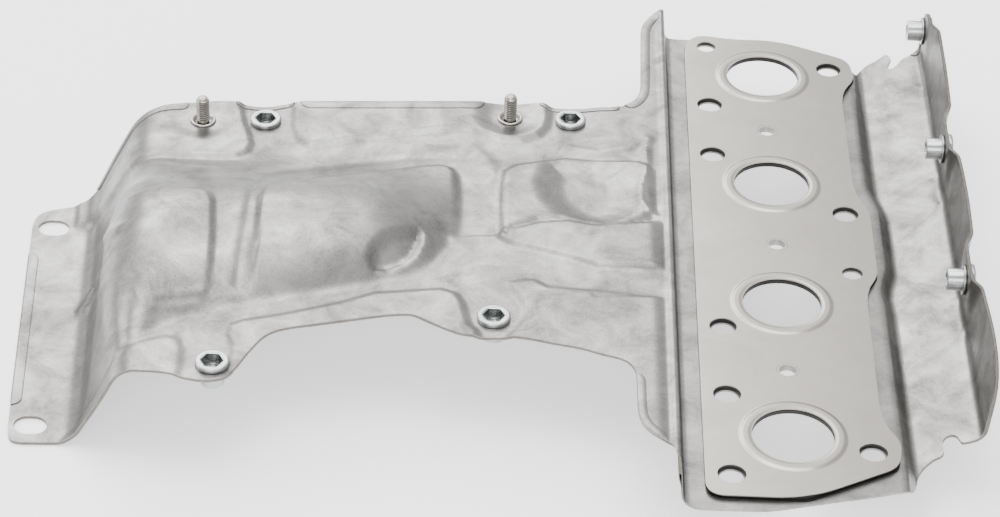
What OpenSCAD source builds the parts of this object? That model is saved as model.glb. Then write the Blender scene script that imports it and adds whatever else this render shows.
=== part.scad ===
// Four-port exhaust gasket joined to a pressed sheet-metal heat shield.
// X runs across the ports, Y along the row of ports and Z up from the gasket's upper face.
// The origin is the middle of the row of ports, on that face.

/* [Gasket] */
// Distance between neighbouring ports
port_pitch = 88; // [86:0.5:90]
// Diameter of each port
port_d = 33.6; // [30:0.1:35]
// Diameter of the clearance holes in the gasket's layers
gasket_hole_d = 11.6; // [11:0.1:12]
// Diameter of the clearance holes in the shield, for M8 studs
shield_hole_d = 10; // [9:0.1:10.5]
// Diameter of the two locating holes
locating_hole_d = 9; // [8.4:0.1:9.4]
// Thickness of the upper and lower gasket layers
layer_t = 0.5; // [0.4:0.1:0.6]
// Thickness of the carrier between them
carrier_t = 1.2; // [0.8:0.1:1.4]
// Height of the sealing bead
bead_h = 0.5; // [0.3:0.1:0.6]

/* [Shield] */
// Thickness of each skin of the sandwich
skin_t = 0.4; // [0.3:0.1:0.5]
// Thickness of the insulation between the skins
mat_t = 0.8; // [0.6:0.1:1.2]
// Height of the wing's flat strips above the gasket
wing_z = 11; // [8:0.5:14]
// Height of the left flange, below the gasket
flange_z = -30; // [-34:0.5:-24]
// Height of the dome above the wing's strips
dome_h = 18; // [12:0.5:20]
// Height of the right wall's top edge
wall_z = 24; // [22:0.5:27]

/* [Fasteners] */
// Diameter of a captive nut's flange
nut_flange_d = 14; // [13:0.1:15]
// Thickness of a captive nut's flange
nut_flange_t = 2; // [1.5:0.1:2.5]
// Diameter of a captive nut's barrel
nut_barrel_d = 9.6; // [9:0.1:10]
// Length of the barrel below the flange
nut_barrel_l = 9.6; // [8:0.1:11]
// Width across flats of the nut's hexagon socket
socket_af = 8; // [7:0.5:8.5]
// Thread diameter of nuts and studs
thread_d = 6; // [6:0.5:6]
// Length of stud above the shield
stud_l = 12.5; // [11:0.5:15]

/* [Hidden] */
// Captive nuts: four on the wing, then three on the right wall
nut_names = ["far_left", "far_right", "near_left", "near_right", "wall_far", "wall_middle", "wall_near"];
$fn = 48;

// Heights: the gasket lies on the shield's base strip.
carrier_z = -layer_t;
lower_z = carrier_z - carrier_t;
base_z = lower_z - layer_t;
sheet_t = 2 * skin_t + mat_t;
// Play that lets the captive nuts and the studs turn
gap = 0.15;
// Half the length of every tool that cuts right through
through = 60;

// Holes of the gasket: x, y and whether the hole is a locating hole
left_row_x = -25.7;
right_row_x = 31.7;
clearance_holes = concat(
  [for (y = [106.6, 66, -61.5, -106.6, -156.5]) [left_row_x, y]],
  [for (y = [140.2, 23, -140.2]) [right_row_x, y]]);
locating_holes = [[left_row_x, 156.5], [right_row_x, -20.7]];
ports = [for (k = [-1.5:1:1.5]) [0, k * port_pitch]];
eyelets = [[0, 86.2], [0, -1.8], [0, -89.8]];
eyelet_r = 4.1;
eyelet_rim = 0.6;
// Play round the hollow rivets, and the wider hole that sinks a rim flush into its layer
rivet_gap = 0.05;
rivet_hole_d = 2 * (eyelet_r + rivet_gap);
sunk_hole_d = 2 * (eyelet_r + eyelet_rim + rivet_gap);

// Gasket outline: corner x, corner y and the radius that rounds the corner
gasket_outline = [
  [-36.4, -169.6, 8], [4, -169.8, 14], [41.5, -149, 6], [43.6, -134, 5],
  [36.3, -120, 14], [36.6, -34, 12], [42.6, -22, 5], [42.6, 26, 6],
  [36.6, 40, 12], [36.4, 120, 10], [43.6, 133, 5], [41.5, 149, 6],
  [8, 164.2, 12], [-12, 163.4, 20], [-30, 166.6, 6], [-36.2, 158, 8]];

// Captive nuts on the wing's strips: x and y
wing_nuts = [[-228.4, 62.4], [-90.9, 71.3], [-235.5, -113.5], [-122.2, -76.6]];
// Captive nuts on the right wall: y; all at one height
wall_nut_y = [160, 60.8, -37.2];
wall_nut_z = 11;
wall_x = 77.3;
studs = [[-256.5, 61.4], [-118.3, 72.2]];
stud_hole_r = 4.4;

// Slotted holes of the left flange: centre x and y, end-to-end length and width
flange_slots = [[-322, 31.1], [-312.6, -107.3]];
slot_l = 14;
slot_w = 11.7;

// Cross-section of the shield's upper face: place across the sheet, x, height and bend radius.
// The place equals x until the right wall, and there goes on up the wall.
valley_z = -9;
section = [
  [-329.5, -329.5, flange_z, 0], [-302.5, -302.5, flange_z, 8], [-279, -279, wing_z, 12],
  [-46.9, -46.9, wing_z, 3.5], [-45.2, -45.2, base_z, 3],
  [43.4, 43.4, base_z, 3], [47, 47, valley_z, 2.5], [wall_x, wall_x, -3, 3],
  [wall_x + wall_z, wall_x, wall_z, 0]];
// Places where the sheet needs more stations between its bends
extra_stations = concat(
  [-326, -318, -308], [-296, -290], [for (s = [-262:9.5:-70]) s],
  [-65.6, -64, -62.8, -60.6, -58.4, -57.4, -54.5],
  [-38, -12, 8, 20, 31, 38], [55, 63, 70]);

// Near and far edge of the sheet: place across the sheet and y
near_edge = [
  [-329.5, -113.5], [-326, -119], [-303, -117.4], [-270, -120.4], [-256, -120.4],
  [-240, -123.8], [-231, -122.4], [-225.5, -117], [-217, -96.5], [-209.8, -90], [-185.6, -83.4],
  [-159.4, -77.1], [-147.6, -82.4], [-137.5, -88.3], [-128, -89.8], [-112.8, -88.4],
  [-78.2, -98.2], [-67.5, -102.4], [-64, -108], [-62.8, -135], [-60.6, -143.8], [-54.8, -149.9],
  [-49.7, -153], [-46.2, -165], [-44, -173.5], [-40, -176], [-11, -175.7], [2, -172],
  [39.8, -162.3], [45.3, -158.5], [47.4, -151], [49.5, -141.6], [55.6, -134.2], [59, -132.6],
  [72.2, -126.2], [77.3, -124.6], [88, -121.5], [96, -115], [wall_x + wall_z, -104]];
far_edge = [
  [-329.5, 35], [-326, 42.5], [-318, 45.8], [-306, 49.5], [-302.5, 52.5], [-290.6, 60],
  [-276.6, 67.5], [-263.8, 73.4], [-253.5, 75.7], [-243.5, 75.6], [-234.2, 73.3], [-225.2, 74],
  [-219, 76.4], [-132.2, 82.3], [-104.8, 83.4], [-97, 81], [-86.5, 81.3], [-77.4, 83.4],
  [-70.5, 84.2], [-63.6, 87.8], [-59.9, 93], [-58.4, 99.8], [-57.4, 151.5], [-53.1, 163.5],
  [-48.6, 170], [-46, 169.3], [-43, 165.5], [-33.9, 165.2], [-12, 161.8], [7, 162.5], [20, 155.4],
  [33, 149.6], [41, 142.5], [45, 144], [47.5, 151], [51.8, 157.6], [61.8, 165.2], [78, 165],
  [92, 166.5], [wall_x + wall_z, 161]];

// The smooth step from 0 to 1 as t goes from 0 to 1
function ease(t) = let (u = max(0, min(1, t))) u * u * (3 - 2 * u);
function mix(a, b, t) = a + (b - a) * t;
// 1 between a and b, falling smoothly to 0 over a margin w at each side
function window(x, a, b, w) = ease((x - a) / w) * ease((b - x) / w);
function unit(v) = v / norm(v);

// Slope of an edge at its point i, from the points on both sides
function slope(edge, i) =
  let (a = edge[max(i - 1, 0)], b = edge[min(i + 1, len(edge) - 1)]) (b[1] - a[1]) / (b[0] - a[0]);
// Value of an edge at place s: a cubic curve through the points, with the slopes above
function edge_y(edge, s, i = 0) =
  (i < len(edge) - 2 && s > edge[i + 1][0]) ? edge_y(edge, s, i + 1) :
  let (a = edge[i], b = edge[i + 1], w = b[0] - a[0], t = max(0, (s - a[0]) / w), h = ease(t))
  mix(a[1], b[1], h) + w * t * (1 - t) * ((1 - t) * slope(edge, i) - t * slope(edge, i + 1));

// How far the flange and the wall lean in plan, in mm of x for each mm of y
function slant(x) = -0.072 * ease((-248 - x) / 45);
// The base's right border follows the gasket's middle lobe
function lobe(x, y) = window(x, 38, 60, 5) * (4 * window(y, -32, 52, 24) + 1.4 * ease((-20 - y) / 20));

// How far the right wall leans out: nothing on the pads round its nuts, the full amount between them
wall_lean = 3.2;
pad_reach = 36;
pad_ramp = 14;
function nut_pad(y) = max([for (c = wall_nut_y) ease((pad_reach - abs(y - c)) / pad_ramp)]);
function lean(station, y) =
  station[0] < wall_x ? 0 : wall_lean * (station[0] - wall_x) / wall_z * (1 - nut_pad(y));

// The dome: the line of its near foot, then its height, which falls off at all four sides
dome_foot = [
  [-329.5, -80], [-285, -92], [-263, -92.5], [-224, -70], [-183, -55], [-154.5, -39], [-142, -24],
  [-120, -22], [-62, -24], [-44, -72], [wall_x + wall_z, -72]];
function dome(x, y) = dome_h * window(x, -284, -138, 32) * ease((42 - y) / 48)
  * ease((y - edge_y(dome_foot, x)) / 14);
// The low box between the dome and the base strip
box_h = 3;
function box_step(x, y) = box_h * window(x, -121, -52, 7) * window(y, -24, 42, 7);

function upper_point(station, y) =
  let (x = station[1] + slant(station[1]) * y + lobe(station[1], y) + lean(station, y))
  [x, y, station[2] + dome(x, y) + box_step(x, y)];

// Points of one bend of the section: a curve that leaves and joins the straight runs smoothly
bend_steps = 4;
function run_point(a, b, reach) = a + (b - a) * min(0.48, reach / norm([b[1] - a[1], b[2] - a[2]]));
function bend_points(i) =
  let (p = section[i], r = p[3])
  r == 0 ? [p] :
  let (a = run_point(p, section[i - 1], r), b = run_point(p, section[i + 1], r))
  [for (k = [0:bend_steps]) let (t = k / bend_steps)
    a * pow(1 - t, 2) + p * 2 * t * (1 - t) + b * t * t];
function between(s) =
  let (i = [for (k = [0:len(section) - 2]) if (section[k][0] < s && section[k + 1][0] > s) k][0],
       t = (s - section[i][0]) / (section[i + 1][0] - section[i][0]))
  section[i] * (1 - t) + section[i + 1] * t;
function sorted(list) = len(list) < 2 ? list :
  let (p = list[floor(len(list) / 2)][0])
  concat(sorted([for (q = list) if (q[0] < p) q]),
         [for (q = list) if (q[0] == p) q],
         sorted([for (q = list) if (q[0] > p) q]));
stations = sorted(concat(
  [for (i = [0:len(section) - 1]) each bend_points(i)],
  [for (s = extra_stations) between(s)]));

// Rows across the sheet: some up to the dome's foot, some over the dome, some up to the far edge
near_rows = 4;
far_rows = 5;
dome_rows = [0, 0.045, 0.09, 0.15, 0.25, 0.36, 0.48, 0.6, 0.7, 0.8, 0.9, 1];
function row_places(s) =
  let (near = edge_y(near_edge, s), far = edge_y(far_edge, s),
       foot = edge_y(dome_foot, s), inner = min(66, far - 6))
  concat([for (k = [0:near_rows - 1]) mix(near, foot, k / near_rows)],
         [for (q = dome_rows) mix(foot, inner, q)],
         [for (k = [1:far_rows]) mix(inner, far, k / far_rows)]);
rows = near_rows + len(dome_rows) + far_rows - 1;

grid = [for (st = stations) [for (y = row_places(st[0])) upper_point(st, y)]];
last = len(stations) - 1;
normals = [for (i = [0:last]) [for (j = [0:rows])
  unit(cross(grid[min(i + 1, last)][j] - grid[max(i - 1, 0)][j],
             grid[i][min(j + 1, rows)] - grid[i][max(j - 1, 0)]))]];
// The mat tapers away where the base strip is pressed flat
function mat_here(s) = mat_t * (1 - window(s, -45.5, 47.5, 4));
function sunk(i, j, depth) = grid[i][j] - normals[i][j] * depth;

// A closed sheet between two depths below the upper face, over stations i0 to i1.
// Depths are lists with one value for each station.
module sheet(top, bottom, i0 = 0, i1 = last) {
  n = i1 - i0 + 1;
  m = rows + 1;
  half = n * m;
  points = concat(
    [for (i = [i0:i1]) for (j = [0:rows]) sunk(i, j, top[i])],
    [for (i = [i0:i1]) for (j = [0:rows]) sunk(i, j, bottom[i])]);
  function id(i, j) = i * m + j;
  faces = concat(
    [for (i = [0:n - 2]) for (j = [0:rows - 1]) for (f = [
      [id(i, j), id(i, j + 1), id(i + 1, j + 1)], [id(i, j), id(i + 1, j + 1), id(i + 1, j)],
      [half + id(i, j), half + id(i + 1, j + 1), half + id(i, j + 1)],
      [half + id(i, j), half + id(i + 1, j), half + id(i + 1, j + 1)]]) f],
    [for (i = [0:n - 2]) for (f = [
      [id(i, 0), id(i + 1, 0), half + id(i + 1, 0)], [id(i, 0), half + id(i + 1, 0), half + id(i, 0)],
      [id(i, rows), half + id(i + 1, rows), id(i + 1, rows)],
      [id(i, rows), half + id(i, rows), half + id(i + 1, rows)]]) f],
    [for (j = [0:rows - 1]) for (f = [
      [id(0, j), half + id(0, j + 1), id(0, j + 1)], [id(0, j), half + id(0, j), half + id(0, j + 1)],
      [id(n - 1, j), id(n - 1, j + 1), half + id(n - 1, j + 1)],
      [id(n - 1, j), half + id(n - 1, j + 1), half + id(n - 1, j)]]) f]);
  polyhedron(points = points, faces = faces, convexity = 6);
}

// A round hole through the sheet, along Z
module hole(p, d) {
  translate([p[0], p[1], -through]) cylinder(d = d, h = 2 * through);
}

module slot_cut(p) {
  half = (slot_l - slot_w) / 2;
  for (side = [-1, 1]) hole([p[0] + side * half, p[1]], slot_w);
  translate([p[0] - half, p[1] - slot_w / 2, -through]) cube([2 * half, slot_w, 2 * through]);
}

// The holes and notches that every layer of the shield has
nut_hole_d = nut_barrel_d + 0.8;
far_notch = [62.2, 153];
far_notch_w = 8;
near_notch = [64.4, -125.6];
near_notch_w = 8.6;
notch_l = 20;
module shield_cuts() {
  for (p = wing_nuts) hole(p, nut_hole_d);
  for (y = wall_nut_y) translate([wall_x - 5, y, wall_nut_z])
    rotate([0, 90, 0]) rotate([0, 0, 20]) cylinder(d = nut_hole_d, h = 10);
  for (p = studs) hole(p, 2 * stud_hole_r);
  for (p = flange_slots) slot_cut(p);
  translate([far_notch[0], far_notch[1], -through]) cube([far_notch_w, notch_l, 2 * through]);
  hole(near_notch, near_notch_w);
  translate([near_notch[0] - near_notch_w / 2, near_notch[1] - notch_l, -through])
    cube([near_notch_w, notch_l, 2 * through]);
}

// The holes through the base strip; the hollow rivets' holes have diameter rivet_d
shield_port_d = port_d + 13.4;
module base_cuts(rivet_d) {
  for (p = ports) hole(p, shield_port_d);
  for (p = clearance_holes) hole(p, shield_hole_d);
  for (p = locating_holes) hole(p, locating_hole_d);
  for (p = eyelets) hole(p, rivet_d);
}

zero_depth = [for (st = stations) 0];
skin_depth = [for (st = stations) skin_t];
mat_depth = [for (st = stations) skin_t + mat_here(st[0])];
full_depth = [for (st = stations) 2 * skin_t + mat_here(st[0])];

module shield_upper_skin() {
  color("silver") difference() {
    sheet(zero_depth, skin_depth);
    shield_cuts();
    base_cuts(rivet_hole_d);
  }
}

module shield_lower_skin() {
  color("darkgray") difference() {
    sheet(mat_depth, full_depth);
    shield_cuts();
    base_cuts(sunk_hole_d);
  }
}

// The last station at full mat thickness left of the base strip, and the first right of it
left_end = max([for (i = [0:last]) if (stations[i][0] <= -45.5) i]);
right_start = min([for (i = [0:last]) if (stations[i][0] >= 47.5) i]);

module insulation_left() {
  color("tan") difference() {
    sheet(skin_depth, mat_depth, 0, left_end);
    shield_cuts();
  }
}

module insulation_right() {
  color("tan") difference() {
    sheet(skin_depth, mat_depth, right_start, last);
    shield_cuts();
  }
}

// Corner c of a closed outline, rounded by its radius
function corner(outline, c, steps = 6) =
  let (n = len(outline), p = outline[c], q = [p[0], p[1]],
       a = outline[(c + n - 1) % n], b = outline[(c + 1) % n],
       ua = unit([a[0], a[1]] - q), ub = unit([b[0], b[1]] - q),
       reach = p[2] / tan(acos(ua * ub) / 2),
       start = q + ua * reach, finish = q + ub * reach)
  [for (k = [0:steps]) let (t = k / steps)
    start * pow(1 - t, 2) + q * 2 * t * (1 - t) + finish * t * t];

// The gasket's outline, drawn in by an inset at its widest and longest places
half_wide = 40;
half_long = 168;
module layer_outline(inset = 0) {
  points = [for (c = [0:len(gasket_outline) - 1]) each corner(gasket_outline, c)];
  scale([1 - inset / half_wide, 1 - inset / half_long]) polygon(points);
}

// A flat gasket layer with its bolt holes; port holes of radius r, rivet holes of diameter rivet_d
module layer(z, t, r, rivet_d, inset = 0) {
  difference() {
    translate([0, 0, z]) linear_extrude(t) layer_outline(inset);
    for (p = ports) hole(p, 2 * r);
    for (p = clearance_holes) hole(p, gasket_hole_d);
    for (p = locating_holes) hole(p, locating_hole_d);
    for (p = eyelets) hole(p, rivet_d);
  }
}

bead_in_r = port_d / 2 + 1.5;
bead_out_r = port_d / 2 + 5.4;
bead_ramp = 0.7;
// The beaded rim round a port; up is 1 for a bead that rises and -1 for one that sinks
module bead(z, up) {
  low = up > 0 ? z : z + layer_t;
  for (p = ports) translate([p[0], p[1], low]) rotate_extrude()
    polygon([for (q = [
      [port_d / 2, 0], [port_d / 2, layer_t], [bead_in_r, layer_t],
      [bead_in_r + bead_ramp, layer_t + bead_h], [bead_out_r - bead_ramp, layer_t + bead_h],
      [bead_out_r, layer_t], [bead_out_r + 1, layer_t], [bead_out_r + 1, 0],
      [bead_out_r - 0.2, 0], [bead_out_r - 0.2 - bead_ramp, bead_h],
      [bead_in_r + 0.2 + bead_ramp, bead_h], [bead_in_r + 0.2, 0]]) [q[0], up * q[1]]]);
}

module gasket_upper_layer() {
  color("gainsboro") union() {
    layer(-layer_t, layer_t, bead_out_r + 0.6, sunk_hole_d);
    bead(-layer_t, 1);
  }
}

module gasket_carrier() {
  color("gray") layer(lower_z, carrier_t, port_d / 2, rivet_hole_d, 0.8);
}

module gasket_lower_layer() {
  color("gainsboro") union() {
    layer(base_z, layer_t, bead_out_r + 0.6, rivet_hole_d);
    bead(base_z, -1);
  }
}

// A hollow rivet through the gasket and the base strip, its two rims flush with the outer faces
rivet_bottom = base_z - 2 * skin_t;
rivet_wall = 0.5;
rim_t = skin_t;
module hollow_rivet(p) {
  outer = eyelet_r + eyelet_rim;
  color("whitesmoke") translate([p[0], p[1], 0]) rotate_extrude()
    polygon([[eyelet_r - rivet_wall, rivet_bottom], [outer, rivet_bottom], [outer, rivet_bottom + rim_t],
      [eyelet_r, rivet_bottom + rim_t], [eyelet_r, -rim_t], [outer, -rim_t], [outer, -0.1],
      [outer - 0.1, 0], [eyelet_r - rivet_wall, 0]]);
}

// A captive nut with its flange's underside at z = 0 and its barrel downwards
module captive_nut() {
  chamfer = 0.5;
  socket_z = -3;
  color("white") difference() {
    rotate_extrude()
      polygon([[0, -nut_barrel_l], [nut_barrel_d / 2 - chamfer, -nut_barrel_l],
        [nut_barrel_d / 2, -nut_barrel_l + chamfer], [nut_barrel_d / 2, 0], [nut_flange_d / 2, 0],
        [nut_flange_d / 2, nut_flange_t - chamfer], [nut_flange_d / 2 - chamfer, nut_flange_t],
        [0, nut_flange_t]]);
    translate([0, 0, socket_z]) rotate([0, 0, 30])
      cylinder(d = socket_af / cos(30), h = nut_flange_t - socket_z + 1, $fn = 6);
    translate([0, 0, -nut_barrel_l - 1]) cylinder(d = thread_d - 1, h = nut_barrel_l);
  }
}

// The ring pressed on the barrel that keeps the nut in the sheet
washer_d = 13;
washer_t = 1.1;
module nut_washer() {
  color("gainsboro") translate([0, 0, -sheet_t - 2 * gap - washer_t]) difference() {
    cylinder(d = washer_d, h = washer_t);
    translate([0, 0, -1]) cylinder(d = nut_barrel_d + 0.06, h = washer_t + 2);
  }
}

module at_wing(p) {
  translate([p[0], p[1], wing_z + gap]) children();
}

// On the wall the flange is on the outer side and the barrel points left
module at_wall(y) {
  translate([wall_x + sheet_t + gap, y, wall_nut_z]) rotate([0, 90, 0]) children();
}

// The place of nut i in the list of names: the wing's nuts come first
module at_nut(i) {
  if (i < len(wing_nuts)) at_wing(wing_nuts[i]) children();
  else at_wall(wall_nut_y[i - len(wing_nuts)]) children();
}

module nut(i) {
  at_nut(i) captive_nut();
}

module washer(i) {
  at_nut(i) nut_washer();
}

// The flanged eyelet that holds a stud: flared at the top, with a narrow neck inside the sheet
neck_r = 2.95;
eyelet_foot_t = 0.6;
eyelet_foot_r = 5.3;
eyelet_rim_t = 0.8;
module stud_eyelet(p) {
  foot_z = -sheet_t - eyelet_foot_t;
  tube_r = stud_hole_r - 0.05;
  color("gainsboro") translate([p[0], p[1], wing_z]) rotate_extrude()
    polygon([[neck_r, foot_z], [eyelet_foot_r, foot_z], [eyelet_foot_r, -sheet_t], [tube_r, -sheet_t],
      [tube_r, 0], [eyelet_foot_r, 0], [eyelet_foot_r, 0.5], [5, eyelet_rim_t],
      [tube_r, eyelet_rim_t], [3.6, 0.2], [neck_r, -0.6]]);
}

// A stud with a hexagon head below the sheet and an undercut shank in the eyelet's neck
collar_r = 6.4;
collar_t = 1.5;
shank_r = 2.6;
dog_r = 2.2;
dog_l = 1.6;
head_af = 10;
head_t = 3.2;
module stud(p) {
  collar_z = -sheet_t - eyelet_foot_t - gap;
  thread_end = stud_l - dog_l;
  color("gray") translate([p[0], p[1], wing_z]) union() {
    rotate_extrude()
      polygon([[0, collar_z - collar_t], [collar_r, collar_z - collar_t], [collar_r, collar_z - 0.5],
        [collar_r - 0.6, collar_z], [shank_r, collar_z], [shank_r, 0.1], [thread_d / 2, 0.5],
        [thread_d / 2, thread_end - 0.6], [dog_r, thread_end], [dog_r, stud_l - 0.5],
        [dog_r - 0.6, stud_l], [0, stud_l]]);
    translate([0, 0, collar_z - collar_t - head_t + 0.2])
      cylinder(d = head_af / cos(30), h = head_t, $fn = 6);
  }
}

shield_upper_skin();
shield_lower_skin();
insulation_left();
insulation_right();
gasket_upper_layer();
gasket_carrier();
gasket_lower_layer();
hollow_rivet(eyelets[0]);  // eyelet_far
hollow_rivet(eyelets[1]);  // eyelet_middle
hollow_rivet(eyelets[2]);  // eyelet_near
for (i = [0:len(nut_names) - 1]) {
  nut(i);
  washer(i);
}
stud(studs[0]);  // stud_left
stud(studs[1]);  // stud_right
stud_eyelet(studs[0]);  // stud_eyelet_left
stud_eyelet(studs[1]);  // stud_eyelet_right
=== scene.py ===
"""Looks for a four-port exhaust gasket riveted to a pressed, insulated heat shield."""
import math

import bpy
import numpy as np
from mathutils import Matrix
from mathutils.geometry import delaunay_2d_cdt


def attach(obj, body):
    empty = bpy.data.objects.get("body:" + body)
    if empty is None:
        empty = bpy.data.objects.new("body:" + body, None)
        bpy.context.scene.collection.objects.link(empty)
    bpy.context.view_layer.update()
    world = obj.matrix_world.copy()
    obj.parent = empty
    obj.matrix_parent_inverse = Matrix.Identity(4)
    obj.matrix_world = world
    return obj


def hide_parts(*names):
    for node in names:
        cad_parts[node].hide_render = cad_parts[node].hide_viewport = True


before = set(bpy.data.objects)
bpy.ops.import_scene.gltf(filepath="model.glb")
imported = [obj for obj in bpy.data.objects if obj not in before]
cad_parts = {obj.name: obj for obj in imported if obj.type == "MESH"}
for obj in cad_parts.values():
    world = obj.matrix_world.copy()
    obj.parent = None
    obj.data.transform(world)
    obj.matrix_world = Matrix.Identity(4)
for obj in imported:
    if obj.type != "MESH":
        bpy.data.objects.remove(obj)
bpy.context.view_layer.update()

MM = 0.001
ROOT = "gasket_and_shield"

# ---------------------------------------------------------------- camera, floor and light


def camera():
    """Long lens from the near left, looking down at 37 degrees along the row of ports."""
    data = bpy.data.cameras.new("camera")
    data.sensor_width = 36.0
    data.lens = 109.584
    data.clip_start, data.clip_end = 0.05, 20.0
    obj = bpy.data.objects.new("camera", data)
    bpy.context.collection.objects.link(obj)
    right = (0.99929012, 0.0216561609, 0.0308263914)
    up = (-0.0376602336, 0.595551797, 0.802433651)
    back = (-0.000981080541, -0.803024949, 0.595944602)
    place = Matrix([(*row, 0.0) for row in zip(right, up, back)] + [(0, 0, 0, 1)])
    place.translation = (-0.121813, -1.075160, 0.783219)
    obj.matrix_world = place
    bpy.context.scene.camera = obj


def srgb(code, alpha=1.0):
    """Turns a hex colour as seen on a screen into linear values."""
    parts = [int(code[i:i + 2], 16) / 255 for i in (1, 3, 5)]
    return tuple(p / 12.92 if p <= 0.04045 else ((p + 0.055) / 1.055) ** 2.4 for p in parts) + (alpha,)


def area_light(name, place, target, size, watts, colour="#ffffff"):
    """A soft rectangular lamp at a place, turned to a target."""
    data = bpy.data.lights.new(name, "AREA")
    data.shape, data.size, data.size_y = "RECTANGLE", size[0], size[1]
    data.energy, data.color = watts, srgb(colour)[:3]
    obj = bpy.data.objects.new(name, data)
    bpy.context.collection.objects.link(obj)
    obj.location = place
    aim = obj.location - Matrix.Translation(target).translation
    obj.rotation_mode = "QUATERNION"
    obj.rotation_quaternion = aim.to_track_quat("Z", "Y")
    return obj


# ---------------------------------------------------------------- materials


def add(tree, kind, settings=None, links=None):
    """Adds one node with its settings and links; a link's value is another node's output socket."""
    node = tree.nodes.new(kind)
    for key, value in (settings or {}).items():
        if key in node.inputs and not hasattr(type(node), key):
            node.inputs[key].default_value = value
        else:
            setattr(node, key, value)
    for key, socket in (links or {}).items():
        tree.links.new(socket, node.inputs[key])
    return node


def metal(name, dark, light, rough, grain_mm, blotch_mm, bump=0.1, metallic=1.0, drawn=0.0):
    """Metal whose colour and roughness wander over broad blotches and a fine grain.

    Where the mesh carries a per-point shade value, such as how steeply a wall stands, the colour comes out
    darker by the given share: painted shade.
    """
    mat = bpy.data.materials.new(name)
    mat.use_nodes = True
    tree = mat.node_tree
    shader = tree.nodes["Principled BSDF"]
    where = add(tree, "ShaderNodeTexCoord")
    blotch = add(tree, "ShaderNodeTexNoise",
                 {"Scale": 1000.0 / blotch_mm, "Detail": 6.0, "Roughness": 0.7, "Distortion": 0.5},
                 {"Vector": where.outputs["Object"]})
    grain = add(tree, "ShaderNodeTexNoise", {"Scale": 1000.0 / grain_mm, "Detail": 3.0},
                {"Vector": where.outputs["Object"]})
    both = add(tree, "ShaderNodeMix", {"data_type": "FLOAT"})
    both.inputs[0].default_value = 0.25
    tree.links.new(blotch.outputs[0], both.inputs[2])
    tree.links.new(grain.outputs[0], both.inputs[3])
    ramp = add(tree, "ShaderNodeMapRange", {"From Min": 0.36, "From Max": 0.64}, {"Value": both.outputs[0]})
    tint = add(tree, "ShaderNodeMix", {"data_type": "RGBA"})
    tree.links.new(ramp.outputs[0], tint.inputs[0])
    tint.inputs[6].default_value, tint.inputs[7].default_value = srgb(dark), srgb(light)
    colour = tint.outputs[2]
    # Painted shade: the mesh's shade value darkens the colour by the given share.
    if drawn:
        steep = add(tree, "ShaderNodeAttribute", {"attribute_name": "drawn"})
        shade_darkening = add(tree, "ShaderNodeMix", {"data_type": "RGBA", "blend_type": "MULTIPLY"})
        tree.links.new(steep.outputs["Fac"], shade_darkening.inputs[0])
        tree.links.new(colour, shade_darkening.inputs[6])
        shade_darkening.inputs[7].default_value = (1 - drawn, 1 - drawn, 1 - drawn * 1.02, 1)
        colour = shade_darkening.outputs[2]
    tree.links.new(colour, shader.inputs["Base Color"])
    shine = add(tree, "ShaderNodeMapRange", {"To Min": rough[1], "To Max": rough[0]},
                {"Value": ramp.outputs[0]})
    tree.links.new(shine.outputs[0], shader.inputs["Roughness"])
    shader.inputs["Metallic"].default_value = metallic
    if bump:
        relief = add(tree, "ShaderNodeBump", {"Strength": bump, "Distance": 0.0002},
                     {"Height": both.outputs[0]})
        tree.links.new(relief.outputs[0], shader.inputs["Normal"])
    return mat


# ---------------------------------------------------------------- the sheet's shape, in mm

WING, FLANGE, BASE, VALLEY, SHEET = 11.0, -30.0, -2.2, -9.0, 1.6
WALL_X = 77.3
# Knots of the shield's cross-section: x, height and how far the bend reaches along the sheet
KNOTS = np.array([
    [-329.5, FLANGE, 0], [-302.5, FLANGE, 7], [-279, WING, 10], [-50.2, WING, 1.2], [-48.4, 11.9, 1.6],
    [-46.4, 11.4, 2.2], [-45.2, BASE, 2.6], [43.4, BASE, 2.4], [47.4, VALLEY, 2.4], [WALL_X, -3, 3.2],
    [WALL_X, 32, 0]], float)


def smooth(t):
    """The smooth step: 3 t squared minus 2 t cubed, held at 0 and 1 outside."""
    t = np.clip(t, 0, 1)
    return t * t * (3 - 2 * t)


def section(u):
    """Points of the cross-section at length u along it: straight runs, and between them parabolas."""
    steps = np.hypot(*(KNOTS[1:, :2] - KNOTS[:-1, :2]).T)
    at = np.concatenate([[0], np.cumsum(steps)])
    slope = (KNOTS[1:, :2] - KNOTS[:-1, :2]) / steps[:, None]
    out = KNOTS[0, :2] + u[:, None] * slope[0]
    for k in range(1, len(KNOTS) - 1):
        r = min(KNOTS[k, 2], 0.49 * steps[k - 1], 0.49 * steps[k])
        d = u - at[k]
        ramp = np.where(d > r, d, np.where(d < -r, 0, (d + r) ** 2 / (4 * r)))
        out += ramp[:, None] * (slope[k] - slope[k - 1])
    return out, at


_, KNOT_U = section(np.zeros(1))
FINE_U = np.linspace(0, KNOT_U[-1], 9000)
FINE_X = section(FINE_U)[0][:, 0]


def place_u(s):
    """Length along the section of place s: s is x, and on the right wall x plus the height above its foot."""
    s = np.asarray(s, float)
    low = np.interp(s, np.maximum.accumulate(FINE_X), FINE_U)
    return np.where(s < WALL_X - 1.5, low, KNOT_U[-2] + (s - WALL_X))


def distance(p, line, closed=False):
    """Distance of points p to a chain of straight pieces, and for a closed chain its sign: plus inside."""
    line = np.asarray(line, float)
    ends = np.vstack([line, line[:1]]) if closed else line
    best = np.full(len(p), 1e9)
    inside = np.zeros(len(p), bool)
    for a, b in zip(ends[:-1], ends[1:]):
        d = b - a
        t = np.clip(((p - a) @ d) / max(d @ d, 1e-12), 0, 1)
        best = np.minimum(best, ((p - a - t[:, None] * d) ** 2).sum(1))
        if closed:
            cross = (a[1] > p[:, 1]) != (b[1] > p[:, 1])
            x = a[0] + (p[:, 1] - a[1]) / (b[1] - a[1] + 1e-30) * d[0]
            inside ^= cross & (p[:, 0] < x)
    best = np.sqrt(best)
    return np.where(inside, best, -best) if closed else best


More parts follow.
